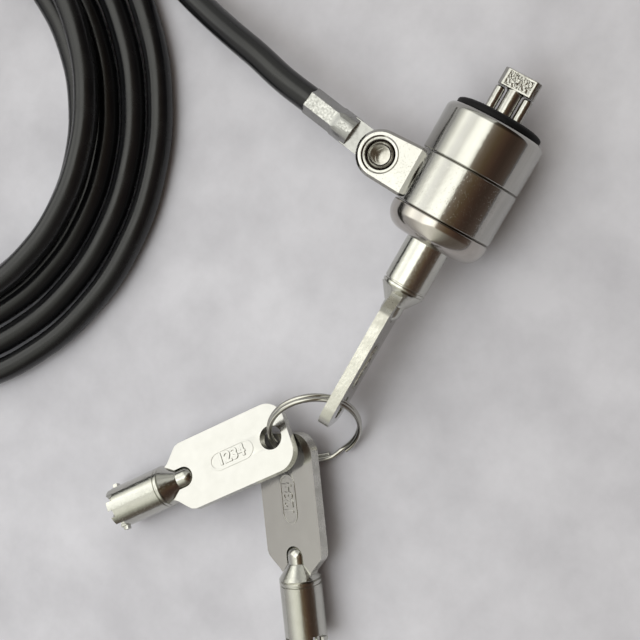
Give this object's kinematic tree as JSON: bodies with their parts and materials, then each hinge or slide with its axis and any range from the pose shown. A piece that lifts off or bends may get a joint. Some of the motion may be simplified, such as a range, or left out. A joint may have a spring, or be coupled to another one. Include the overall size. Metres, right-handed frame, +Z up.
{
  "type": "laptop cable lock",
  "caption": "T-bar security lock head with a swivelling collar, a hinged coiled steel cable ending in a loop, and tubular keys on a split ring.",
  "frame": {"origin": "centre of the rubber face washer's flat front, on the lock axis", "axes": "+X along the lock axis out through the T-bar, +Y from the lock axis to the cable hinge, +Z up, square to the table the parts lie on"},
  "size_m": [0.1228, 0.1864, 0.018],
  "materials": {
    "nickel_shell": "bright nickel plate over a die-cast shell",
    "hardened_steel": "plated hardened steel with a grainy cast face",
    "brass_core": "machined brass",
    "spring_steel": "drawn steel",
    "ferrule_steel": "satin plated steel with pressed flats",
    "wire_rope": "stranded galvanised wire rope",
    "cable_jacket": "smooth glossy black vinyl jacket",
    "black_rubber": "matt black rubber",
    "key_steel": "satin nickel-plated steel",
    "ring_steel": "polished nickel-plated spring wire"
  },
  "bodies": {
    "housing": {"front_shell": "nickel_shell", "face_washer": "black_rubber", "guide_plate": "hardened_steel", "tumbler_sleeve": "brass_core", "retaining_pin": "spring_steel", "pin_springs": "spring_steel", "rear_cap": "nickel_shell"},
    "plug": {"plug": "brass_core", "plug_clip": "spring_steel", "t_bar": "hardened_steel"},
    "key_pins": {"key_pins": "spring_steel"},
    "driver_pins": {"driver_pins": "spring_steel"},
    "collar": {"swivel_collar": "nickel_shell", "hinge_rivet": "nickel_shell"},
    "cable": {"cable_fitting": "ferrule_steel", "cable_core": "wire_rope", "cable_stretch": "cable_jacket", "cable_coil": "cable_jacket", "end_loop": "cable_jacket", "loop_sleeve": "ferrule_steel"},
    "key_1": {"key_1_tube": "key_steel", "key_1_bow": "key_steel"},
    "ring": {"split_ring": "ring_steel"},
    "key_2": {"key_2_tube": "key_steel", "key_2_bow": "key_steel"},
    "key_3": {"key_3_tube": "key_steel", "key_3_bow": "key_steel"}
  },
  "joints": [
    {"name": "collar_swivel", "type": "hinge", "parent": "housing", "child": "collar", "pos_m": [-0.01517, 0, 0], "axis": [1, 0, 0], "continuous": true},
    {"name": "cable_pivot", "type": "hinge", "parent": "collar", "child": "cable", "pos_m": [-0.01517, 0.0144, 0], "axis": [0, 0, 1], "range_deg": [-80, 15]},
    {"name": "plug_turn", "type": "hinge", "parent": "housing", "child": "plug", "pos_m": [-0.019, 0, 0], "axis": [1, 0, 0], "range_deg": [0, 90]},
    {"name": "key_withdraw", "type": "slide", "parent": "plug", "child": "key_1", "axis": [1, 0, 0], "range_m": [-0.024, 0]},
    {"name": "key_pin_travel", "type": "slide", "parent": "plug", "child": "key_pins", "axis": [1, 0, 0], "range_m": [-0.0012, 0]},
    {"name": "driver_pin_travel", "type": "slide", "parent": "housing", "child": "driver_pins", "axis": [1, 0, 0], "range_m": [-0.0012, 0], "deforming": ["pin_springs"]},
    {"name": "ring_swing", "type": "hinge", "parent": "key_1", "child": "ring", "pos_m": [-0.05597, 0, 0.00032], "axis": [-0.0351, 0.8404, 0.5408], "range_deg": [-90, 30]},
    {"name": "key_2_swing", "type": "hinge", "parent": "ring", "child": "key_2", "pos_m": [-0.06907, 0.00743, -0.00232], "axis": [-0.5565, -0.5047, -0.66], "range_deg": [-5, 52]},
    {"name": "key_3_swing", "type": "hinge", "parent": "ring", "child": "key_3", "pos_m": [-0.07059, 0.00442, -0.00522], "axis": [-0.1014, -0.7992, -0.5925], "range_deg": [-24, 4]}
  ],
  "couplings": [
    {"joint": "key_pin_travel", "follows": "key_withdraw", "ratio": 0.05},
    {"joint": "driver_pin_travel", "follows": "key_withdraw", "ratio": 0.05}
  ]
}
